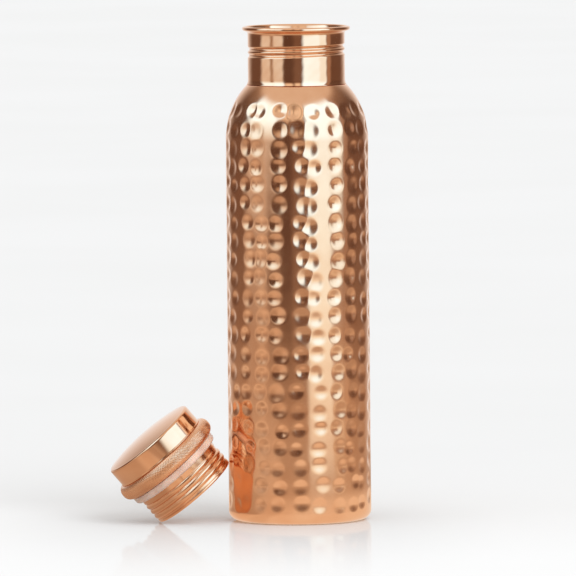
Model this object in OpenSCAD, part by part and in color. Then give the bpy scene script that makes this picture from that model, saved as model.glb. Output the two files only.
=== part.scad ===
// Hammered copper water bottle with its screw lid off, leaning on the bottle's side.
// The frame's origin is the centre of the base, +Z runs up the bottle's axis and
// the lid stands on the -X side. Millimetres throughout.

/* [Bottle] */
// Outside diameter of the body
body_d = 74; // [72:0.5:78]
// Height from the base to the top of the lip
bottle_h = 256; // [230:1:280]
// Radius of the rounded corner at the base
base_round = 5; // [4:0.5:7]
// Radius of the arc that forms the shoulder
shoulder_arc = 40; // [34:1:50]
// Thickness of the copper sheet
sheet = 0.7; // [0.6:0.05:0.8]

/* [Neck] */
// Outside diameter of the neck tube
neck_d = 50.4; // [50:0.1:51]
// Height of the neck above the shoulder, lip included
neck_h = 30; // [28:0.5:34]
// Outside diameter of the flared lip
lip_d = 56; // [55.5:0.1:57]
// Thickness of the rolled bead that edges the lip
lip_bead = 2.3; // [2:0.1:2.6]

/* [Thread] */
// Pitch of the rolled thread, in the neck and on the plug
thread_pitch = 3.2; // [3:0.1:3.4]
// Depth of the thread rolled into the neck
neck_thread_depth = 0.9; // [0.7:0.05:1]
// Height of the thread on the plug
plug_thread_height = 0.8; // [0.6:0.05:0.9]

/* [Lid] */
// Diameter over the plug's thread
plug_d = 48; // [47.6:0.1:48.2]
// Length of the plug from its rim to the gasket
plug_l = 14.8; // [14.5:0.1:16]
// Outside diameter of the gasket
gasket_d = 52.6; // [51:0.1:54]
// Thickness of the gasket
gasket_h = 4; // [3.5:0.1:4.5]
// Widest diameter of the knurled collar
collar_d = 58.4; // [57.6:0.1:60]
// Height of the collar
collar_h = 8.2; // [7.6:0.1:10]
// Outside diameter of the crown
crown_d = 51.6; // [51:0.1:52]
// Height of the crown's straight band
crown_h = 10.4; // [9:0.1:12]
// Rise of the domed top above the band
dome_h = 2.5; // [1.5:0.1:4]

/* [Leaning lid] */
// Tilt of the lid's axis from upright
lean_angle = 40.5; // [35:0.5:55]
// Turn of the leaning lid round the bottle, towards the front
lean_turn = 7.5; // [0:0.5:20]
// Free space between the lid's rim and the bottle
lean_gap = 0.4; // [0.3:0.1:1]

/* [Hidden] */
$fn = 96;
copper = "#c98152";
bright_copper = "#dc9a6c";
silicone = "#e6cbbd";

body_r = body_d / 2;
neck_r = neck_d / 2;
neck_in_r = neck_r - sheet - 0.2;
spigot_r = neck_r - 0.4;
spigot_l = 3;
braze_gap = 0.05;
shoulder_top_r = neck_r + 0.4;
neck_z = bottle_h - neck_h;
shoulder_z = neck_z - sqrt(pow(shoulder_arc, 2) - pow(shoulder_arc - body_r + shoulder_top_r, 2));

base_flat_r = body_r - base_round;
base_hole_r = base_flat_r - 3;
base_step_r = base_flat_r - 0.5;

bead_r = lip_bead / 2;
bead_at = [lip_d / 2 - bead_r, bottle_h - bead_r];
flare_z = bottle_h - 4;

// the rolled zones overlap their plain neighbours by this much and are this much thinner
join = 0.2;
skin = 0.05;
segments = 48;

neck_thread_z = [bottle_h - 17.6, bottle_h - 7.4];
neck_thread_start = bottle_h - 16.6;
neck_thread_turns = [0.3, 2.25];

plug_crest_r = plug_d / 2;
plug_core_r = plug_crest_r - plug_thread_height;
plug_wall_r = plug_crest_r - 0.3;
plug_in_r = plug_core_r - sheet - 0.2;
plug_edge = 0.8;
plug_thread_w = [1.3, 12.2];
plug_thread_start = -1.3;
plug_thread_turns = [0.85, 4.05];

gasket_r = gasket_d / 2;
gasket_in_r = plug_wall_r + 0.3;
gasket_round = 1.5;
collar_w = plug_l + gasket_h + 0.1;
collar_r = collar_d / 2;
collar_in_r = plug_wall_r + braze_gap;
collar_round = 3.6;
collar_wall = 1;
crown_w = collar_w + collar_h;
crown_r = crown_d / 2;
crown_edge = 1.4;
flange_r = crown_r - sheet - 0.2;

// the rounded rim of the plug touches the ground on one side and faces the bottle on the other
edge_r = plug_wall_r - plug_edge;
lean_x = -body_r - lean_gap - edge_r * cos(lean_angle) + plug_edge * sin(lean_angle) - plug_edge;
lean_z = edge_r * sin(lean_angle) - plug_edge * cos(lean_angle) + plug_edge;

// 1 on the line of the thread, falling smoothly to 0 one half-width away
function ridge(distance) = abs(distance) < 1 ? (1 + cos(180 * distance)) / 2 : 0;

// 1 along the thread, fading to 0 over the last quarter turn at either end
function fade(turn, span) = max(0, min(1, 4 * (turn - span[0]), 4 * (span[1] - turn)));

// strength of a right-hand thread at height h and angle a
function thread(h, a, start, span) =
    max([for (k = [0:ceil(span[1])])
        fade(k + a / 360, span) * ridge((h - start - thread_pitch * (k + a / 360)) / (0.48 * thread_pitch))]);

// a tube between two heights whose radii follow the thread
module threaded_sleeve(heights, rows, r_out, r_in, out_change, in_change, start, span) {
    step = (heights[1] - heights[0]) / rows;
    function at(r, change, j, i) =
        let (h = heights[0] + j * step, a = 360 * i / segments)
        let (reach = r + change * thread(h, a, start, span))
        [reach * cos(a), reach * sin(a), h];
    outer = [for (j = [0:rows], i = [0:segments - 1]) at(r_out, out_change, j, i)];
    inner = [for (j = [0:rows], i = [0:segments - 1]) at(r_in, in_change, j, i)];
    size = len(outer);
    function cell(j, i) = j * segments + i % segments;
    walls = [for (j = [0:rows - 1], i = [0:segments - 1]) each [
        [cell(j, i), cell(j + 1, i), cell(j + 1, i + 1)],
        [cell(j, i), cell(j + 1, i + 1), cell(j, i + 1)],
        [size + cell(j, i), size + cell(j + 1, i + 1), size + cell(j + 1, i)],
        [size + cell(j, i), size + cell(j, i + 1), size + cell(j + 1, i + 1)]
    ]];
    ends = [for (i = [0:segments - 1]) each [
        [cell(0, i), cell(0, i + 1), size + cell(0, i + 1), size + cell(0, i)],
        [cell(rows, i + 1), cell(rows, i), size + cell(rows, i), size + cell(rows, i + 1)]
    ]];
    polyhedron(concat(outer, inner), concat(walls, ends), convexity = 8);
}

// a rectangle from one corner to the other
module block(low, high) {
    translate(low) square(high - low);
}

// half section of the body's outside, or of its inside when inset is the sheet's thickness
module body_half(inset) {
    r = body_r - inset;
    corner = base_round - inset;
    block([0, inset], [base_flat_r, base_round]);
    translate([base_flat_r, base_round]) circle(corner);
    block([0, base_round], [r, shoulder_z]);
    intersection() {
        translate([body_r - shoulder_arc, shoulder_z]) circle(shoulder_arc - inset, $fn = 180);
        block([0, shoulder_z - 0.01], [r, neck_z]);
    }
}

module body_shell() {
    color(copper) rotate_extrude() difference() {
        intersection() {
            body_half(0);
            block([0, 0], [body_r, neck_z]);
        }
        body_half(sheet);
        block([0, -1], [base_hole_r, base_round]);
        block([0, shoulder_z], [spigot_r + braze_gap, neck_z + 1]);
    }
}

module base_disc() {
    color(copper) rotate_extrude() {
        block([0, 0], [base_hole_r - braze_gap, 2 * sheet]);
        block([0, sheet], [base_step_r, 2 * sheet]);
    }
}

// half section of the neck's plain parts: spigot, lower band, upper band, flare and bead
module neck_half() {
    block([neck_in_r, neck_z - spigot_l], [spigot_r, neck_z + 0.5]);
    block([neck_in_r, neck_z], [neck_r, neck_thread_z[0] + join]);
    block([neck_in_r, neck_thread_z[1] - join], [neck_r, flare_z]);
    polygon([
        [neck_in_r, flare_z - 0.01],
        [neck_r, flare_z - 0.01],
        bead_at + [0.5, -0.9] * bead_r,
        bead_at + [-0.8, 0.5] * bead_r
    ]);
    translate(bead_at) circle(bead_r);
}

module neck() {
    color(bright_copper) union() {
        rotate_extrude() neck_half();
        threaded_sleeve(neck_thread_z, 18, neck_r - skin, neck_in_r + skin,
            -neck_thread_depth, -neck_thread_depth, neck_thread_start, neck_thread_turns);
    }
}

// everything on the lid is drawn upright on its own axis, from the plug's rim up, and leant here
module leant() {
    rotate([0, 0, lean_turn]) translate([lean_x, 0, lean_z]) rotate([0, -lean_angle, 0]) children();
}

module gasket_ring() {
    color(silicone) leant() rotate_extrude() intersection() {
        block([gasket_in_r, plug_l], [gasket_r, plug_l + gasket_h]);
        union() {
            block([gasket_in_r, plug_l], [gasket_r - gasket_round, plug_l + gasket_h]);
            block([gasket_in_r, plug_l + gasket_round], [gasket_r, plug_l + gasket_h]);
            translate([gasket_r - gasket_round, plug_l + gasket_round]) circle(gasket_round);
        }
    }
}

// half section of the plug's plain parts: closed end, rim, smooth wall and flange
module plug_half() {
    block([0, 0], [edge_r, sheet]);
    block([plug_in_r, 0], [edge_r, plug_thread_w[0] + join]);
    block([plug_in_r, plug_edge], [plug_wall_r, plug_thread_w[0] + join]);
    translate([edge_r, plug_edge]) circle(plug_edge);
    block([plug_in_r, plug_thread_w[1] - join], [plug_wall_r, crown_w + sheet]);
    block([plug_in_r, crown_w], [flange_r, crown_w + sheet]);
}

module threaded_plug() {
    color(copper) leant() union() {
        rotate_extrude() plug_half();
        threaded_sleeve(plug_thread_w, 20, plug_core_r, plug_in_r + skin,
            plug_thread_height, 0, plug_thread_start, plug_thread_turns);
    }
}

// half section of the collar's outside, or of its hollow when inset is the wall's thickness
module collar_half(inset) {
    flat_r = collar_r - collar_round;
    low = collar_w + collar_round;
    high = crown_w - collar_round;
    block([0, collar_w + inset], [flat_r, crown_w - inset]);
    block([0, low], [collar_r - inset, high]);
    translate([flat_r, low]) circle(collar_round - inset);
    translate([flat_r, high]) circle(collar_round - inset);
}

module grip_collar() {
    color(copper) leant() rotate_extrude() difference() {
        intersection() {
            collar_half(0);
            block([collar_in_r, collar_w], [collar_r, crown_w]);
        }
        collar_half(collar_wall);
    }
}

// half section of the crown: a straight band, a rounded edge and a shallow dome
module crown_half(inset) {
    r = crown_r - inset;
    edge_at = [crown_r - crown_edge, crown_w + crown_h - crown_edge];
    dome_r = (pow(edge_at[0], 2) + pow(dome_h, 2)) / (2 * dome_h);
    top = crown_w + crown_h + dome_h;
    block([0, crown_w - inset], [r, edge_at[1]]);
    block([0, edge_at[1] - 1], [edge_at[0], crown_w + crown_h - inset]);
    if (inset == 0) translate(edge_at) circle(crown_edge);
    intersection() {
        translate([0, top - dome_r]) circle(dome_r - inset, $fn = 180);
        block([0, edge_at[1]], [edge_at[0] - inset, top]);
    }
}

module lid_crown() {
    color(bright_copper) leant() rotate_extrude() difference() {
        crown_half(0);
        crown_half(sheet);
    }
}

body_shell();
base_disc();
neck();
gasket_ring();
threaded_plug();
grip_collar();
lid_crown();
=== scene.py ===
"""A hammered copper water bottle with its screw lid off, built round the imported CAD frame.

The frame's origin is the centre of the base, +Z runs up the bottle and the lid leans on the -X side.
Shapes are drawn in millimetres, as the CAD is, and scaled to metres when their mesh is made.
The lid's pieces are drawn upright on the lid's own axis, with the plug's closed end at height 0.
Names that end in _W are such heights.
"""

import math
import random

import bmesh
import bpy
import numpy as np
from mathutils import Matrix, Vector


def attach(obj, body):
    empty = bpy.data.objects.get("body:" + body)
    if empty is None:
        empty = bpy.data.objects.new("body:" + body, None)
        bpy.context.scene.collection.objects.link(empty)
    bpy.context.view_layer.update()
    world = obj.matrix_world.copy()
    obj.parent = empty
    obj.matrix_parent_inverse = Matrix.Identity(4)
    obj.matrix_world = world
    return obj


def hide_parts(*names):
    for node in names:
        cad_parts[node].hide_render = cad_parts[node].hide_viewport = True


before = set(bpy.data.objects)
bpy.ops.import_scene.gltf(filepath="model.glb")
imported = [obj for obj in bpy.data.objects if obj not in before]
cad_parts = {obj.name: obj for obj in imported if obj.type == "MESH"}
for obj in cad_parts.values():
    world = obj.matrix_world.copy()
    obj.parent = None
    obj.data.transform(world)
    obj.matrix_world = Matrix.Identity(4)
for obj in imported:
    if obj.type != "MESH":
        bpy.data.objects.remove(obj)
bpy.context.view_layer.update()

MM = 0.001
TURN = 2 * math.pi

# ---- the object's dimensions, the same as the CAD's ----
SHEET = 0.7
BRAZE_GAP = 0.05

BODY_R = 37.0
BOTTLE_H = 256.0
BASE_ROUND = 5.0
BASE_FLAT_R = BODY_R - BASE_ROUND
BASE_HOLE_R = BASE_FLAT_R - 3

NECK_R = 25.2
NECK_IN_R = NECK_R - SHEET - 0.2
NECK_Z = BOTTLE_H - 30
SPIGOT_R = NECK_R - 0.4
SPIGOT_L = 3
FLARE_Z = BOTTLE_H - 4
LIP_R = 28.0
BEAD_R = 1.15

SHOULDER_ARC = 40.0
SHOULDER_TOP_R = NECK_R + 0.4
SHOULDER_Z = NECK_Z - math.sqrt(SHOULDER_ARC**2 - (SHOULDER_ARC - BODY_R + SHOULDER_TOP_R) ** 2)

PITCH = 3.2
THREAD_HALF_WIDTH = 0.48 * PITCH
THREAD_FADE = 0.25
NECK_THREAD_DEPTH = 0.9
NECK_THREAD_Z = (BOTTLE_H - 17.6, BOTTLE_H - 7.4)
NECK_THREAD_START = BOTTLE_H - 16.6
NECK_THREAD_TURNS = (0.3, 2.25)

PLUG_L = 14.8
PLUG_CREST_R = 24.0
PLUG_CORE_R = PLUG_CREST_R - 0.8
PLUG_WALL_R = PLUG_CREST_R - 0.3
PLUG_IN_R = PLUG_CORE_R - SHEET - 0.2
PLUG_EDGE = 0.8
PLUG_THREAD_W = (1.3, 12.2)
PLUG_THREAD_START = -1.3
PLUG_THREAD_TURNS = (0.85, 4.05)
EDGE_R = PLUG_WALL_R - PLUG_EDGE

GASKET_R = 26.3
GASKET_IN_R = PLUG_WALL_R + 0.3
GASKET_H = 4.0

COLLAR_W = PLUG_L + GASKET_H + 0.1
COLLAR_H = 8.2
COLLAR_R = 29.2
COLLAR_IN_R = PLUG_WALL_R + BRAZE_GAP
COLLAR_ROUND = 3.6

CROWN_W = COLLAR_W + COLLAR_H
CROWN_R = 25.8
CROWN_H = 10.4
CROWN_EDGE = 1.4
DOME_H = 2.5
FLANGE_R = CROWN_R - SHEET - 0.2

LEAN = math.radians(40.5)
LEAN_TURN = math.radians(7.5)
LEAN_GAP = 0.4


def lid_place():
    """Where the lid's own frame lies when its rim is on the ground and it leans on the bottle."""
    x = -BODY_R - LEAN_GAP - EDGE_R * math.cos(LEAN) + PLUG_EDGE * math.sin(LEAN) - PLUG_EDGE
    z = EDGE_R * math.sin(LEAN) - PLUG_EDGE * math.cos(LEAN) + PLUG_EDGE
    shift = Matrix.Translation((x * MM, 0, z * MM))
    return Matrix.Rotation(LEAN_TURN, 4, "Z") @ shift @ Matrix.Rotation(-LEAN, 4, "Y")


LID = lid_place()
UPRIGHT = Matrix.Identity(4)


# ---- outlines ----
FILLET_STEPS = 6


def arc(centre, radius, start, end, steps):
    """Points on a circle from one angle to another, in degrees, both ends included."""
    angles = np.radians(np.linspace(start, end, steps + 1))
    return [(centre[0] + radius * math.cos(t), centre[1] + radius * math.sin(t)) for t in angles]


def line(start, end, step):
    """Points from start to end, no further than step apart, without the end."""
    count = max(1, math.ceil(math.dist(start, end) / step))
    return [tuple(np.array(start) + (np.array(end) - start) * i / count) for i in range(count)]


def polyline(corners, step=None):
    """A path through corners given as (radius, height, fillet), cut into steps when a step is given."""
    path = []
    last = len(corners) - 1
    for i, (r, z, fillet) in enumerate(corners):
        here = np.array((r, z), float)
        if fillet == 0 or i in (0, last):
            path.append(tuple(here))
            continue
        back = np.array(corners[i - 1][:2]) - here
        ahead = np.array(corners[i + 1][:2]) - here
        back = back / np.linalg.norm(back)
        ahead = ahead / np.linalg.norm(ahead)
        half = math.acos(np.clip(back @ ahead, -1, 1)) / 2
        reach = fillet / math.tan(half)
        middle = here + (back + ahead) / np.linalg.norm(back + ahead) * fillet / math.sin(half)
        first = here + back * reach - middle
        final = here + ahead * reach - middle
        sweep = math.pi - 2 * half
        for k in range(FILLET_STEPS + 1):
            t = k / FILLET_STEPS
            point = (first * math.sin((1 - t) * sweep) + final * math.sin(t * sweep)) / math.sin(sweep)
            path.append(tuple(middle + point))
    if step is None:
        return path
    fine = []
    for a, b in zip(path, path[1:]):
        fine += line(a, b, step)
    return fine + [path[-1]]


# ---- meshes ----
def make_mesh(name, vertices, faces, material, place=UPRIGHT, sharp=0, merge=False):
    """A smooth object. Edges that turn more than sharp degrees stay sharp. merge joins doubled vertices."""
    mesh = bpy.data.meshes.new(name)
    mesh.from_pydata(vertices, [], faces)
    mesh.transform(place)
    if merge:
        work = bmesh.new()
        work.from_mesh(mesh)
        bmesh.ops.remove_doubles(work, verts=work.verts, dist=1e-7)
        work.to_mesh(mesh)
        work.free()
    mesh.polygons.foreach_set("use_smooth", [True] * len(mesh.polygons))
    if sharp:
        mesh.set_sharp_from_angle(angle=math.radians(sharp))
    mesh.materials.append(material)
    thing = bpy.data.objects.new(name, mesh)
    bpy.context.scene.collection.objects.link(thing)
    return thing


def ring_faces(rows, columns, closed):
    """Quads between neighbouring rings of vertices, outward when the outline runs up its outside."""
    faces = []
    for j in range(rows if closed else rows - 1):
        low = j * columns
        high = (j + 1) % rows * columns
        for i in range(columns):
            n = (i + 1) % columns
            faces.append((low + i, low + n, high + n, high + i))
    return faces


def revolve(name, outline, columns, material, place=UPRIGHT, change=None, closed=True, sharp=40):
    """Turns an outline of (radius, height) points round the Z axis.

    change(r, z, angle) may bend the rings. When closed, the last ring is joined to the first."""
    points = np.array(outline)
    angle = np.linspace(0, TURN, columns, endpoint=False)[None, :]
    r = np.repeat(points[:, :1], columns, axis=1)
    z = np.repeat(points[:, 1:], columns, axis=1)
    if change:
        r, z = change(r, z, np.repeat(angle, len(points), axis=0))
    vertices = np.stack([r * np.cos(angle), r * np.sin(angle), z], axis=-1).reshape(-1, 3) * MM
    faces = ring_faces(len(points), columns, closed)
    on_axis = points[:, 0].min() < 1e-6
    return make_mesh(name, vertices.tolist(), faces, material, place, sharp, merge=on_axis)


def thread(height, angle, start, turns, fullness=1.0):
    """Strength, from 0 to 1, of a right-hand thread at a height and angle.

    turns holds where it starts and ends, in turns from the start height. A lower fullness widens it."""
    strength = np.zeros_like(height)
    for k in range(math.ceil(turns[1]) + 1):
        turn = k + angle / TURN
        fade = np.clip(np.minimum(turn - turns[0], turns[1] - turn) / THREAD_FADE, 0, 1)
        away = np.clip(np.abs(height - start - PITCH * turn) / THREAD_HALF_WIDTH, 0, 1)
        strength = np.maximum(strength, fade * ((1 + np.cos(math.pi * away)) / 2) ** fullness)
    return strength


# ---- materials ----
COPPER_LIGHT = (0.90, 0.52, 0.315)
COPPER_DARK = (0.85, 0.455, 0.26)
SILICONE_LIGHT = (0.70, 0.49, 0.38)
SILICONE_DARK = (0.58, 0.37, 0.28)
TONE_SCALE = 45
TONE_RANGE = (0.35, 0.65)
HAZE_SCALE = 160
HAZE_RANGE = (0.3, 0.7)
EVEN = (1, 1, 1)
ROUND_MARKS = (0.12, 0.12, 3.0)


def new_material(name):
    """A material with its nodes, links and main shader."""
    material = bpy.data.materials.new(name)
    material.use_nodes = True
    nodes = material.node_tree.nodes
    return material, nodes, material.node_tree.links, nodes["Principled BSDF"]


def noise_at(nodes, links, scale, detail, stretch=EVEN, place=UPRIGHT):
    """A noise in features per metre, squeezed along the axes of the frame that place gives."""
    where = nodes.new("ShaderNodeTexCoord")
    mapping = nodes.new("ShaderNodeMapping")
    mapping.vector_type = "TEXTURE"
    mapping.inputs["Location"].default_value = place.translation
    mapping.inputs["Rotation"].default_value = place.to_euler()
    mapping.inputs["Scale"].default_value = [1 / s for s in stretch]
    noise = nodes.new("ShaderNodeTexNoise")
    noise.inputs["Scale"].default_value = scale
    noise.inputs["Detail"].default_value = detail
    links.new(where.outputs["Object"], mapping.inputs["Vector"])
    links.new(mapping.outputs["Vector"], noise.inputs["Vector"])
    return noise.outputs["Fac"]


def ranged(nodes, links, value, low, high):
    """Maps the middle of a noise onto low to high."""
    node = nodes.new("ShaderNodeMapRange")
    node.inputs["From Min"].default_value = HAZE_RANGE[0]
    node.inputs["From Max"].default_value = HAZE_RANGE[1]
    node.inputs["To Min"].default_value = low
    node.inputs["To Max"].default_value = high
    links.new(value, node.inputs["Value"])
    return node.outputs["Result"]


def toned(nodes, links, value, dark, light):
    """A colour that runs from dark to light with a noise."""
    ramp = nodes.new("ShaderNodeValToRGB")
    for element, position, colour in zip(ramp.color_ramp.elements, TONE_RANGE, (dark, light)):
        element.position = position
        element.color = (*colour, 1)
    links.new(value, ramp.inputs["Fac"])
    return ramp.outputs["Color"]


def marked(nodes, links, shader, marks, depth):
    """Raises fine marks, depth metres high, on the surface."""
    bump = nodes.new("ShaderNodeBump")
    bump.inputs["Distance"].default_value = depth
    links.new(marks, bump.inputs["Height"])
    links.new(bump.outputs["Normal"], shader.inputs["Normal"])


def copper(name, rough, grain, depth, stretch=EVEN, place=UPRIGHT):
    """Polished copper: a drifting tone, uneven gloss and the fine marks of its polishing.

    rough is the lowest and highest roughness, grain the marks per metre, depth their height in metres."""
    material, nodes, links, shader = new_material(name)
    shader.inputs["Metallic"].default_value = 1.0
    drift = noise_at(nodes, links, TONE_SCALE, detail=4)
    links.new(toned(nodes, links, drift, COPPER_DARK, COPPER_LIGHT), shader.inputs["Base Color"])
    haze = noise_at(nodes, links, HAZE_SCALE, detail=5)
    links.new(ranged(nodes, links, haze, *rough), shader.inputs["Roughness"])
    marked(nodes, links, shader, noise_at(nodes, links, grain, 2, stretch, place), depth)
    return material


def silicone_material():
    """Pale, slightly cloudy rubber that light sinks into a little."""
    material, nodes, links, shader = new_material("silicone")
    cloud = noise_at(nodes, links, 120, detail=4)
    links.new(toned(nodes, links, cloud, SILICONE_DARK, SILICONE_LIGHT), shader.inputs["Base Color"])
    links.new(ranged(nodes, links, cloud, 0.3, 0.42), shader.inputs["Roughness"])
    shader.inputs["Subsurface Weight"].default_value = 0.35
    shader.inputs["Subsurface Radius"].default_value = (1.0, 0.5, 0.35)
    shader.inputs["Subsurface Scale"].default_value = 0.0015
    shader.inputs["IOR"].default_value = 1.42
    marked(nodes, links, shader, noise_at(nodes, links, 1400, detail=2), 0.00001)
    return material


# name, roughness, marks per metre and their height, then how the marks are drawn out, and in whose frame
hammered_copper = copper("hammered_copper", (0.12, 0.18), 900, 0.000004)
polished_copper = copper("polished_copper", (0.045, 0.09), 700, 0.000002, ROUND_MARKS)
crown_copper = copper("crown_copper", (0.06, 0.11), 700, 0.000003, ROUND_MARKS, LID)
threaded_copper = copper("threaded_copper", (0.14, 0.22), 900, 0.000004, ROUND_MARKS, LID)
knurled_copper = copper("knurled_copper", (0.2, 0.3), 1500, 0.000004)
silicone = silicone_material()


# ---- the hammered body ----
BODY_COLUMNS = 320
BODY_STEP = 0.82
INNER_DEPTH = 1.25
# the hammer marks: how many, between which heights, and the ranges of their sizes and shapes
DENT_COLUMNS = 23
DENT_ROWS = 22
DENT_LOW = 11.0
DENT_HIGH = 213.5
DENT_PHASE = 0.02
DENT_R = (4.3, 5.3)
DENT_DEPTH = (0.65, 1.0)
DENT_TALL = (0.88, 1.12)
DENT_SLANT = (-0.22, 0.22)
DENT_ROUNDNESS = 1.8
# how much shallower and smaller they get from the top to the bottom, the last rows most of all
SHALLOWER = 0.35
SHALLOWER_LAST = 0.2
SMALLER = 0.1
# how the columns drift from row to row, and how far each mark strays, in millimetres
DRIFT_KEPT = 0.8
DRIFT_STEP = 0.9
DRIFT_UP = 0.7
STRAY_ASIDE = 1.4
STRAY_UP = 1.2
# the shallow halo round each mark: its depth, the limit where marks crowd, its spread and its reach in radii
HALO_DEPTH = 0.05
HALO_LIMIT = 0.12
HALO_SPREAD = 1.6
HALO_REACH = 2.2


def shoulder_point(z, inset):
    """Radius of the shoulder at a height, inset millimetres under its outside."""
    return BODY_R - SHOULDER_ARC + math.sqrt((SHOULDER_ARC - inset) ** 2 - (z - SHOULDER_Z) ** 2)


def body_outside():
    """From the base hole out over the rounded corner and up the wall to the shoulder's top."""
    lean = math.asin((NECK_Z - SHOULDER_Z) / SHOULDER_ARC)
    steps = round(SHOULDER_ARC * lean / BODY_STEP)
    path = [(BASE_HOLE_R, 0.0), ((BASE_HOLE_R + BASE_FLAT_R) / 2, 0.0)]
    path += arc((BASE_FLAT_R, BASE_ROUND), BASE_ROUND, -90, 0, 9)
    path += line((BODY_R, BASE_ROUND), (BODY_R, SHOULDER_Z), BODY_STEP)[1:]
    path += arc((BODY_R - SHOULDER_ARC, SHOULDER_Z), SHOULDER_ARC, 0, math.degrees(lean), steps)
    return path


def body_inside():
    """From the shoulder's top down the inside to the base hole, clear of the hammer marks."""
    top = NECK_Z - 0.5
    path = [(SPIGOT_R + BRAZE_GAP, NECK_Z)]
    for z in np.linspace(top, SHOULDER_Z, 8):
        deeper = min(1.0, (top - z) / 5)
        path.append((shoulder_point(z, SHEET + (INNER_DEPTH - SHEET) * deeper), z))
    path.append((BODY_R - INNER_DEPTH, BASE_ROUND + 4))
    path += arc((BASE_FLAT_R, BASE_ROUND), BASE_ROUND - SHEET, 0, -90, 4)
    path.append((BASE_HOLE_R, SHEET))
    return path


def dents():
    """Turn, height, radius, depth, tallness and slant of each hammer mark.

    The marks stand in rows and columns that wander as handwork does. Each column drifts from row to row, and
    each mark strays a little more. The rows get looser, and the marks shallower and smaller, further down."""
    draw = random.Random(7)
    marks = []
    drift = [draw.uniform(-1, 1) for _ in range(DENT_COLUMNS)]
    for row in range(DENT_ROWS):
        down = row / (DENT_ROWS - 1)
        height = DENT_HIGH + (DENT_LOW - DENT_HIGH) * down
        loose = 0.5 + 0.8 * down
        for column in range(DENT_COLUMNS):
            drift[column] = DRIFT_KEPT * drift[column] + draw.uniform(-DRIFT_STEP, DRIFT_STEP)
            aside = STRAY_ASIDE * drift[column] + draw.uniform(-STRAY_ASIDE, STRAY_ASIDE)
            turn = (column + DENT_PHASE) / DENT_COLUMNS * TURN - TURN / 4 + aside / BODY_R
            raised = draw.uniform(-STRAY_UP, STRAY_UP) + DRIFT_UP * drift[(column + 5) % DENT_COLUMNS]
            slant = (draw.uniform(*DENT_SLANT), draw.uniform(*DENT_SLANT))
            depth = draw.uniform(*DENT_DEPTH) * (1 - SHALLOWER * down - SHALLOWER_LAST * down**4)
            radius = draw.uniform(*DENT_R) * (1 - SMALLER * down)
            marks.append((turn, height + loose * raised, radius, depth, draw.uniform(*DENT_TALL), slant))
    return marks


def hammered_body():
    """The shell, its outside pressed in by bowls with a shallow halo round each."""
    path = np.array(body_outside())
    inside = np.array(body_inside())
    length = np.concatenate([[0], np.cumsum(np.linalg.norm(np.diff(path, axis=0), axis=1))])
    along = np.gradient(path, axis=0)
    along /= np.linalg.norm(along, axis=1)[:, None]
    outward = np.stack([along[:, 1], -along[:, 0]], axis=1)
    angle = np.linspace(0, TURN, BODY_COLUMNS, endpoint=False)
    depth = np.zeros((len(path), BODY_COLUMNS))
    halo = np.zeros_like(depth)
    for turn, z, radius, deepest, tall, slant in dents():
        at = np.interp(z, path[:, 1], length)
        near = np.abs(length - at) < HALO_REACH * radius
        up = (length[near] - at)[:, None] / (radius * tall)
        across = ((angle - turn + math.pi) % TURN - math.pi)[None, :] * path[near, 0][:, None] / radius
        away = up**2 + across**2
        bowl = deepest * np.clip(1 - away, 0, 1) ** DENT_ROUNDNESS * (1 + slant[0] * across + slant[1] * up)
        depth[near] = np.maximum(depth[near], bowl)
        halo[near] += HALO_DEPTH * np.exp(-away / HALO_SPREAD)
    depth += np.minimum(halo, HALO_LIMIT)
    sink = np.vstack([depth, np.zeros((len(inside), BODY_COLUMNS))])
    facing = np.vstack([outward, np.zeros_like(inside)])

    def press(r, z, angle):
        return r - sink * facing[:, :1], z - sink * facing[:, 1:]

    outline = np.vstack([path, inside])
    return revolve("hammered_body", outline, BODY_COLUMNS, hammered_copper, change=press, sharp=60)


# ---- the neck ----
LATHE_COLUMNS = 192
THREAD_STEP = 0.16
BORE_STEP = 0.25
PLAIN_STEP = 0.8
FOOT_R = 5.0
FOOT_OUT = 0.6
FOOT_UP = 2.5
FLARE_R = 1.5
# the tube's slight unevenness: depth, waves round the tube, and how far they twist for each millimetre up
WAVES = ((0.018, 7, 0.35), (0.007, 23, -1.1))


def polished_neck():
    """The neck's spigot, filleted foot, rolled thread, flare, lip bead, funnel and bore."""
    low, high = NECK_THREAD_Z
    spigot_z = NECK_Z - SPIGOT_L
    outside = [(SPIGOT_R, spigot_z), (SPIGOT_R, NECK_Z), (NECK_R, NECK_Z), (NECK_R + FOOT_OUT, NECK_Z)]
    outside += arc((NECK_R + FOOT_R, NECK_Z + FOOT_UP), FOOT_R, 208, 180, 8)
    outside += line((NECK_R, NECK_Z + 3), (NECK_R, low), PLAIN_STEP)
    outside += line((NECK_R, low), (NECK_R, high), THREAD_STEP)
    outside += line((NECK_R, high), (NECK_R, FLARE_Z), PLAIN_STEP)
    outside += arc((NECK_R + FLARE_R, FLARE_Z), FLARE_R, 180, 118, 6)
    outside += arc((LIP_R - BEAD_R, BOTTLE_H - BEAD_R), BEAD_R, -70, 150, 23)
    inside = line(outside[-1], (NECK_IN_R, FLARE_Z), 0.5)[1:]
    inside += line((NECK_IN_R, FLARE_Z), (NECK_IN_R, high), PLAIN_STEP)
    inside += line((NECK_IN_R, high), (NECK_IN_R, low), BORE_STEP)[1:]
    inside += [(NECK_IN_R, low), (NECK_IN_R, spigot_z)]

    def roll(r, z, angle):
        zone = (z > low) & (z < high)
        pressed = NECK_THREAD_DEPTH * thread(z, angle, NECK_THREAD_START, NECK_THREAD_TURNS)
        tube = (z > NECK_Z + 1) & (z < FLARE_Z)
        uneven = sum(deep * (1 + np.sin(count * angle + twist * z)) for deep, count, twist in WAVES)
        return r - np.where(zone, pressed, 0) - np.where(tube, uneven, 0), z

    return revolve("polished_neck", outside + inside, LATHE_COLUMNS, polished_copper, change=roll)


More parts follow.
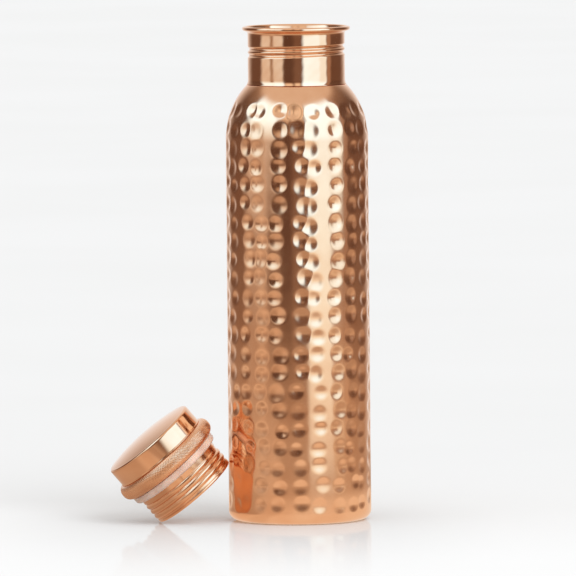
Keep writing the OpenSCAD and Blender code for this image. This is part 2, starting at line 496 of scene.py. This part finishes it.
# ---- the lid ----
THREAD_BLEND = 0.4
NEAR = 0.01
GASKET_COLUMNS = 160
GASKET_STEP = 0.5
GASKET_SWELL = 0.05
KNURL_COLUMNS = 320
KNURL_DEPTH = 0.12
KNURL_SPAN = 60


def lid_plug():
    """The plug's closed end, rounded rim, rolled thread, smooth wall, flange and hollow."""
    low, high = PLUG_THREAD_W
    outline = [(EDGE_R * k / 8, 0.0) for k in range(8)]
    outline += arc((EDGE_R, PLUG_EDGE), PLUG_EDGE, -90, 0, 8)
    outline += line((PLUG_WALL_R, low), (PLUG_WALL_R, high), THREAD_STEP)
    outline += [(PLUG_WALL_R, high), (PLUG_WALL_R, CROWN_W)]
    outline += [(FLANGE_R, CROWN_W), (FLANGE_R, CROWN_W + SHEET), (PLUG_IN_R, CROWN_W + SHEET)]
    outline += [(PLUG_IN_R, SHEET), (0.0, SHEET)]

    def roll(r, z, angle):
        zone = (z > low - NEAR) & (z < high + NEAR) & (r > PLUG_WALL_R - NEAR)
        blend = np.clip(np.minimum(z - low, high - z) / THREAD_BLEND, 0, 1)
        strength = thread(z, angle, PLUG_THREAD_START, PLUG_THREAD_TURNS, fullness=0.5)
        rolled = PLUG_CORE_R + (PLUG_CREST_R - PLUG_CORE_R) * strength
        return np.where(zone, r + (rolled - r) * blend, r), z

    return revolve("threaded_lid_plug", outline, LATHE_COLUMNS, threaded_copper, LID, roll, closed=False)


def lid_gasket():
    """A rounded ring whose outline swells and shrinks a little on its way round."""
    low = PLUG_L
    high = PLUG_L + GASKET_H
    corners = [(GASKET_IN_R, high, 0), (GASKET_IN_R, low, 0.3), (GASKET_R, low, 1.4), (GASKET_R, high, 0.5)]
    outline = polyline(corners + corners[:1], GASKET_STEP)[:-1]

    def soften(r, z, angle):
        return r - GASKET_SWELL * (1 - np.cos(3 * angle + 1)), z

    return revolve("silicone_gasket", outline, GASKET_COLUMNS, silicone, LID, soften, sharp=35)


def lid_collar():
    """The collar, its bulge cut by a diamond knurl: every second vertex stands high."""
    flat_r = COLLAR_R - COLLAR_ROUND
    low = COLLAR_W + COLLAR_ROUND
    high = CROWN_W - COLLAR_ROUND
    step = TURN * COLLAR_R / KNURL_COLUMNS
    rows = round(COLLAR_ROUND * math.radians(KNURL_SPAN) / step)
    foot = [(COLLAR_IN_R, COLLAR_W)] + arc((flat_r, low), COLLAR_ROUND, -90, -KNURL_SPAN, 5)[:-1]
    knurl = arc((flat_r, low), COLLAR_ROUND, -KNURL_SPAN, 0, rows)
    knurl += line((COLLAR_R, low), (COLLAR_R, high), step)[1:]
    knurl += arc((flat_r, high), COLLAR_ROUND, 0, KNURL_SPAN, rows)
    top = arc((flat_r, high), COLLAR_ROUND, KNURL_SPAN, 90, 5)[1:]
    bore = [(COLLAR_IN_R, CROWN_W), (COLLAR_IN_R, (COLLAR_W + CROWN_W) / 2)]
    first = len(foot)
    last = first + len(knurl)

    def cut(r, z, angle):
        row, column = np.indices(r.shape)
        valley = ((row + column) % 2 == 1) & (row >= first) & (row < last)
        return r - KNURL_DEPTH * valley, z

    outline = foot + knurl + top + bore
    collar = revolve("knurled_lid_collar", outline, KNURL_COLUMNS, knurled_copper, LID, cut, sharp=0)
    work = bmesh.new()
    work.from_mesh(collar.data)
    work.verts.ensure_lookup_table()
    work.faces.ensure_lookup_table()
    for face in list(work.faces):
        rows = [v.index // KNURL_COLUMNS for v in face.verts]
        if min(rows) < first - 1 or max(rows) > last:
            continue
        valleys = [v for v in face.verts if (v.index // KNURL_COLUMNS + v.index % KNURL_COLUMNS) % 2 == 1]
        halves = bmesh.utils.face_split(face, valleys[0], valleys[1])
        face.smooth = False
        halves[0].smooth = False
    work.to_mesh(collar.data)
    work.free()
    return collar


def lid_crown():
    """The crown's rolled foot, straight band, rounded edge, shallow dome and hollow."""
    seat_r = 24.4
    foot_r = CROWN_R + 0.45
    top_r = CROWN_R - CROWN_EDGE
    top_w = CROWN_W + CROWN_H
    in_r = CROWN_R - SHEET
    dome_r = (top_r**2 + DOME_H**2) / (2 * DOME_H)
    lean = math.degrees(math.asin(top_r / dome_r))
    foot = [(seat_r, CROWN_W, 0), (foot_r, CROWN_W + 0.05, 0.3), (CROWN_R, CROWN_W + 0.95, 0.5)]
    outline = [(seat_r - 0.1, CROWN_W + 0.1)]
    outline += polyline(foot + [(CROWN_R, top_w - CROWN_EDGE, 0)])
    outline += arc((top_r, top_w - CROWN_EDGE), CROWN_EDGE, 0, 82, 8)
    outline += arc((0, top_w + DOME_H - dome_r), dome_r, 90 - lean, 90, 24)
    outline += [(0.0, top_w + DOME_H - SHEET), (top_r - SHEET, top_w - SHEET - 0.2)]
    outline += [(in_r, top_w - 1.6), (in_r, CROWN_W + 1)]
    return revolve("domed_lid_crown", outline, LATHE_COLUMNS, crown_copper, LID, closed=False)


def add(piece, body, slot, *nodes):
    """Gives a piece its body and hides the CAD nodes that it stands for. The slot is not used."""
    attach(piece, body)
    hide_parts(*nodes)


add(hammered_body(), "bottle", "hammered_copper", "body_shell")
add(polished_neck(), "bottle", "polished_copper", "neck")
add(lid_gasket(), "gasket", "silicone", "gasket_ring")
add(lid_plug(), "lid", "polished_copper", "threaded_plug")
add(lid_collar(), "lid", "knurled_copper", "grip_collar")
add(lid_crown(), "lid", "polished_copper", "lid_crown")

# the base disc is the CAD's own, in the body's copper
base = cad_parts["base_disc"]
base.data.materials.clear()
base.data.materials.append(hammered_copper)


# ---- the studio ----
# A round screen that only glossy surfaces mirror. Its bearings, in degrees, are 0 towards the camera and grow
# to the picture's right. Its colours are listed by height or by distance from the middle, in metres.
STUDIO_R = 0.6
STUDIO_COLUMNS = 240
GLOW_FLOOR_Z = -0.0005
STUDIO_WHITE = (0.939, 0.947, 0.947)
OVERHEAD = (0.80, 0.76, 0.70)
OVERHEAD_RISE = (0.75, 1.0)
LEFT_SKY = [(0.30, (1.04, 1.42, 1.70)), (0.50, (1.25, 2.00, 2.80))]
MIDDLE_SKY = [(0.42, (0.50, 0.40, 0.32)), (0.60, (1.00, 0.98, 0.88))]
RIGHT_SKY = (1.30, 2.15, 3.10)
WALL = [
    (0.0, (0.54, 0.42, 0.33)),
    (0.04, (0.36, 0.26, 0.20)),
    (0.08, (0.25, 0.17, 0.13)),
    (0.15, (0.20, 0.13, 0.10)),
    (0.30, (0.14, 0.09, 0.07)),
    (0.50, (0.16, 0.11, 0.09)),
    (0.90, (0.40, 0.31, 0.25)),
]
# each strip of the wall: its first and last bearing, the softness of its edges, and its colours
STRIPS = [
    # the white wall behind the object
    ((122, 238), 43, [(0.0, STUDIO_WHITE)]),
    # the wide window on the left, with a stretch that is darker low down, and one that is brighter there
    # and darker further up
    ((-96, -28), 12, [
        (0.0, (0.62, 0.51, 0.42)),
        (0.05, (0.52, 0.42, 0.35)),
        (0.10, (0.50, 0.43, 0.38)),
        (0.15, (0.66, 0.61, 0.57)),
        (0.20, (0.84, 0.88, 0.88)),
        *LEFT_SKY,
    ]),
    ((-54, -26), 10, [
        (0.0, (0.68, 0.57, 0.47)),
        (0.04, (0.42, 0.34, 0.28)),
        (0.08, (0.28, 0.21, 0.17)),
        (0.13, (0.32, 0.26, 0.22)),
        (0.18, (0.80, 0.80, 0.78)),
        *LEFT_SKY,
    ]),
    ((-68, -52), 8, [
        (0.0, (0.72, 0.62, 0.52)),
        (0.14, (0.66, 0.58, 0.50)),
        (0.22, (0.40, 0.32, 0.26)),
        (0.30, (0.55, 0.46, 0.38)),
        (0.40, (1.25, 1.90, 2.50)),
    ]),
    # the dark middle, in two shades of brown
    ((-34, -4), 10, [
        (0.0, (0.57, 0.45, 0.36)),
        (0.04, (0.28, 0.20, 0.15)),
        (0.08, (0.14, 0.09, 0.07)),
        (0.30, (0.13, 0.08, 0.06)),
        *MIDDLE_SKY,
    ]),
    ((-8, 14), 8, [
        (0.0, (0.56, 0.45, 0.36)),
        (0.05, (0.36, 0.28, 0.22)),
        (0.09, (0.26, 0.18, 0.14)),
        (0.30, (0.20, 0.13, 0.10)),
        *MIDDLE_SKY,
    ]),
    # the bright window on the right, dimmer at its far side
    ((10, 76), 10, [
        (0.0, (1.00, 1.10, 1.10)),
        (0.06, (1.10, 1.38, 1.50)),
        (0.12, (1.10, 1.55, 1.90)),
        (0.22, (1.20, 1.95, 2.75)),
        (0.50, RIGHT_SKY),
    ]),
    ((52, 80), 8, [
        (0.0, (0.86, 0.80, 0.68)),
        (0.04, (0.56, 0.44, 0.36)),
        (0.10, (0.40, 0.30, 0.25)),
        (0.15, (1.08, 1.50, 1.80)),
        (0.50, RIGHT_SKY),
    ]),
    ((72, 92), 8, [(0.0, (0.70, 0.56, 0.44)), (0.08, (0.42, 0.31, 0.25))]),
]
FLOOR = [
    (0.0, (0.92, 0.82, 0.70)),
    (0.14, (0.92, 0.80, 0.66)),
    (0.22, (0.56, 0.44, 0.35)),
    (0.32, (0.50, 0.39, 0.30)),
    (0.60, (0.52, 0.41, 0.32)),
]
# on the left, the dark ring at 0.085 m is a painted shadow: the lid's shade on the floor, as the metal
# mirrors it
FLOOR_LEFT = [
    (0.0, (0.98, 0.82, 0.66)),
    (0.055, (0.86, 0.70, 0.55)),
    (0.085, (0.40, 0.28, 0.21)),
    (0.12, (0.62, 0.50, 0.40)),
    (0.20, (0.44, 0.34, 0.27)),
    (0.34, (1.02, 0.92, 0.78)),
    (0.60, (0.86, 0.74, 0.61)),
]
FLOOR_BETWEEN = [
    (0.0, (0.84, 0.70, 0.56)),
    (0.12, (0.78, 0.64, 0.51)),
    (0.19, (0.70, 0.56, 0.44)),
    (0.28, (0.80, 0.67, 0.54)),
    (0.60, (0.72, 0.60, 0.50)),
]
# each sector of the floor: the bearings to the left at which it starts, is full, starts to fade and ends
SECTORS = [
    ((44, 62, 120, 150), FLOOR_LEFT),
    ((24, 36, 46, 60), FLOOR_BETWEEN),
]
FLOOR_EDGE = (0.15, STUDIO_R - 0.05)


def graded(value, stops):
    """The colour at a value, among (value, colour) stops."""
    where = [stop[0] for stop in stops]
    return np.array([np.interp(value, where, [stop[1][k] for stop in stops]) for k in range(3)])


def smooth(value, low, high):
    """0 below low, 1 above high, with a smooth rise between."""
    t = min(1.0, max(0.0, (value - low) / (high - low)))
    return t * t * (3 - 2 * t)


def blended(colour, other, share):
    """A colour with a share of another laid over it."""
    return colour * (1 - share) + other * share


def wall_light(bearing, height):
    """The wall's glow: its own brown, then each strip over the ones before, and one even tone overhead."""
    colour = graded(height, WALL)
    for (first, last), soft, stops in STRIPS:
        for turned in (bearing, bearing + 360):
            share = smooth(turned, first, first + soft) * (1 - smooth(turned, last - soft, last))
            colour = blended(colour, graded(height, stops), share)
    return blended(colour, np.array(OVERHEAD), smooth(height, *OVERHEAD_RISE))


def floor_light(bearing, reach):
    """The floor's glow: pale close to the middle, brown further out, and last the colour of the wall's foot.

    On the left it has two dark rings, the inner one a painted shadow of the lid, and is bright beyond them.
    Between there and the front it is pale."""
    colour = graded(reach, FLOOR)
    for (start, full, fading, end), stops in SECTORS:
        share = smooth(-bearing, start, full) * (1 - smooth(-bearing, fading, end))
        colour = blended(colour, graded(reach, stops), share)
    return blended(colour, wall_light(bearing, 0), smooth(reach, *FLOOR_EDGE))


def glow_material():
    """Shines with the colours stored in the mesh."""
    material = bpy.data.materials.new("studio_glow")
    material.use_nodes = True
    material.cycles.emission_sampling = "NONE"
    nodes = material.node_tree.nodes
    nodes.clear()
    colour = nodes.new("ShaderNodeVertexColor")
    colour.layer_name = "glow"
    emission = nodes.new("ShaderNodeEmission")
    output = nodes.new("ShaderNodeOutputMaterial")
    material.node_tree.links.new(colour.outputs["Color"], emission.inputs["Color"])
    material.node_tree.links.new(emission.outputs["Emission"], output.inputs["Surface"])
    return material


def studio():
    """The glowing floor, round wall and ceiling. The camera looks through them.

    The rings stand 2 cm apart on the floor, 1 cm low on the wall and 5 cm higher up."""
    reaches = [0.02 * k for k in range(1, 30)]
    heights = [0.01 * k for k in range(30)] + [0.3 + 0.05 * k for k in range(19)]
    rings = [(reach, GLOW_FLOOR_Z, floor_light) for reach in reaches]
    rings += [(STUDIO_R, height, wall_light) for height in heights]
    vertices = []
    colours = []
    for reach, height, light in rings:
        for k in range(STUDIO_COLUMNS):
            bearing = 360 * k / STUDIO_COLUMNS - 180
            turn = math.radians(bearing)
            vertices.append((reach * math.sin(turn), -reach * math.cos(turn), height))
            colours.append((*light(bearing, reach if light is floor_light else height), 1))
    faces = ring_faces(len(rings), STUDIO_COLUMNS, False)
    faces.append(tuple(range(STUDIO_COLUMNS)))
    faces.append(tuple(range(len(vertices) - STUDIO_COLUMNS, len(vertices))))
    screen = make_mesh("studio_screen", vertices, faces, glow_material())
    glow = screen.data.color_attributes.new("glow", "FLOAT_COLOR", "POINT")
    glow.data.foreach_set("color", np.array(colours, dtype=np.float32).ravel())
    screen.visible_camera = False
    screen.visible_diffuse = False
    screen.visible_shadow = False
    screen.visible_transmission = False
    screen.visible_volume_scatter = False


studio()

# ---- the floor ----
GROUND_Z = -0.0003
GROUND_R = 40.0
GROUND_SIDES = 64
# the middle of the object's width, where the gloss is strongest, and the most that it can make up
MIDDLE_X = -0.03
GLOSS = 0.34


def floor_material():
    """White with painted light that makes it a little brighter towards the camera, and glossy only close to
    the object and in front of it.
    """
    material, nodes, links, shader = new_material("floor")
    where = nodes.new("ShaderNodeTexCoord")
    axes = nodes.new("ShaderNodeSeparateXYZ")
    links.new(where.outputs["Object"], axes.inputs["Vector"])
    behind = axes.outputs["Y"]

    def worked(operation, first, second=None):
        """The result of one operation on outputs or plain numbers."""
        node = nodes.new("ShaderNodeMath")
        node.operation = operation
        for value, socket in zip((first, second), node.inputs):
            if isinstance(value, float):
                socket.default_value = value
            elif value:
                links.new(value, socket)
        return node.outputs["Value"]

    def fading(value, near, far, at_near, at_far):
        """at_near up to near, at_far beyond far, and a smooth change between them."""
        node = nodes.new("ShaderNodeMapRange")
        node.interpolation_type = "SMOOTHSTEP"
        node.inputs["From Min"].default_value = near
        node.inputs["From Max"].default_value = far
        node.inputs["To Min"].default_value = at_near
        node.inputs["To Max"].default_value = at_far
        links.new(value, node.inputs["Value"])
        return node.outputs["Result"]

    cloud = noise_at(nodes, links, 3, detail=2)
    white = toned(nodes, links, cloud, (0.664, 0.664, 0.662), (0.674, 0.674, 0.674))
    # painted light and shade: the floor's white is scaled brighter towards the camera and darker further back
    shade = nodes.new("ShaderNodeVectorMath")
    shade.operation = "SCALE"
    links.new(white, shade.inputs[0])
    links.new(fading(behind, -0.35, 0.45, 0.983, 0.905), shade.inputs["Scale"])
    links.new(shade.outputs["Vector"], shader.inputs["Base Color"])
    shader.inputs["Roughness"].default_value = 0.9
    shader.inputs["Specular IOR Level"].default_value = 0.0
    gloss = nodes.new("ShaderNodeBsdfGlossy")
    gloss.inputs["Roughness"].default_value = 0.06
    aside = worked("ABSOLUTE", worked("SUBTRACT", axes.outputs["X"], MIDDLE_X))
    share = worked("MULTIPLY", fading(behind, -0.3, 0.02, 0.03, GLOSS), fading(behind, 0.0, 0.1, 1.0, 0.05))
    share = worked("MULTIPLY", share, fading(aside, 0.06, 0.14, 1.0, 0.0))
    mix = nodes.new("ShaderNodeMixShader")
    links.new(share, mix.inputs["Fac"])
    links.new(shader.outputs["BSDF"], mix.inputs[1])
    links.new(gloss.outputs["BSDF"], mix.inputs[2])
    links.new(mix.outputs["Shader"], nodes["Material Output"].inputs["Surface"])
    return material


def floor():
    """A wide disc just under the object. The metal mirrors the studio's floor instead of it."""
    turns = [TURN * k / GROUND_SIDES for k in range(GROUND_SIDES)]
    vertices = [(0, 0, GROUND_Z)]
    vertices += [(GROUND_R * math.cos(t), GROUND_R * math.sin(t), GROUND_Z) for t in turns]
    faces = [(0, 1 + k, 1 + (k + 1) % GROUND_SIDES) for k in range(GROUND_SIDES)]
    disc = make_mesh("floor", vertices, faces, floor_material())
    disc.visible_glossy = False


floor()

# ---- light ----
SKY_COLOUR = (0.965, 0.944, 0.922)
SUN_COLOUR = (0.953, 1.0, 1.045)

world = bpy.data.worlds.new("studio")
bpy.context.scene.world = world
world.use_nodes = True
world.node_tree.nodes["Background"].inputs["Color"].default_value = (*SKY_COLOUR, 1)
world.node_tree.nodes["Background"].inputs["Strength"].default_value = 1.0


def sun(name, towards, strength, spread):
    """Even light from far away, softened over spread degrees of the sky, that the metal doesn't mirror."""
    light = bpy.data.lights.new(name, "SUN")
    light.energy = strength
    light.color = SUN_COLOUR
    light.angle = math.radians(spread)
    thing = bpy.data.objects.new(name, light)
    bpy.context.scene.collection.objects.link(thing)
    thing.rotation_euler = Vector(towards).to_track_quat("Z", "Y").to_euler()
    thing.visible_glossy = False


sun("key", (0.55, -0.75, 0.8), 1.6, 40)
sun("fill", (0.1, -0.4, 1.0), 0.8, 70)

# ---- the camera ----
CAMERA_AT = Vector((-0.0053, -4.71, 0.453))
CAMERA_AIM = Vector((-0.0053, 0, 0.1201))
CAMERA_ROLL = math.radians(-0.5)
LENS = 569.2
SENSOR = 36

scene = bpy.context.scene
scene.view_settings.view_transform = "Standard"
scene.view_settings.look = "None"

lens = bpy.data.cameras.new("camera")
lens.sensor_width = SENSOR
lens.lens = LENS
lens.clip_end = 60
camera = bpy.data.objects.new("camera", lens)
scene.collection.objects.link(camera)
camera.location = CAMERA_AT
camera.rotation_mode = "QUATERNION"
aim = (CAMERA_AIM - CAMERA_AT).to_track_quat("-Z", "Y")
camera.rotation_quaternion = aim @ Matrix.Rotation(CAMERA_ROLL, 4, "Z").to_quaternion()
scene.camera = camera
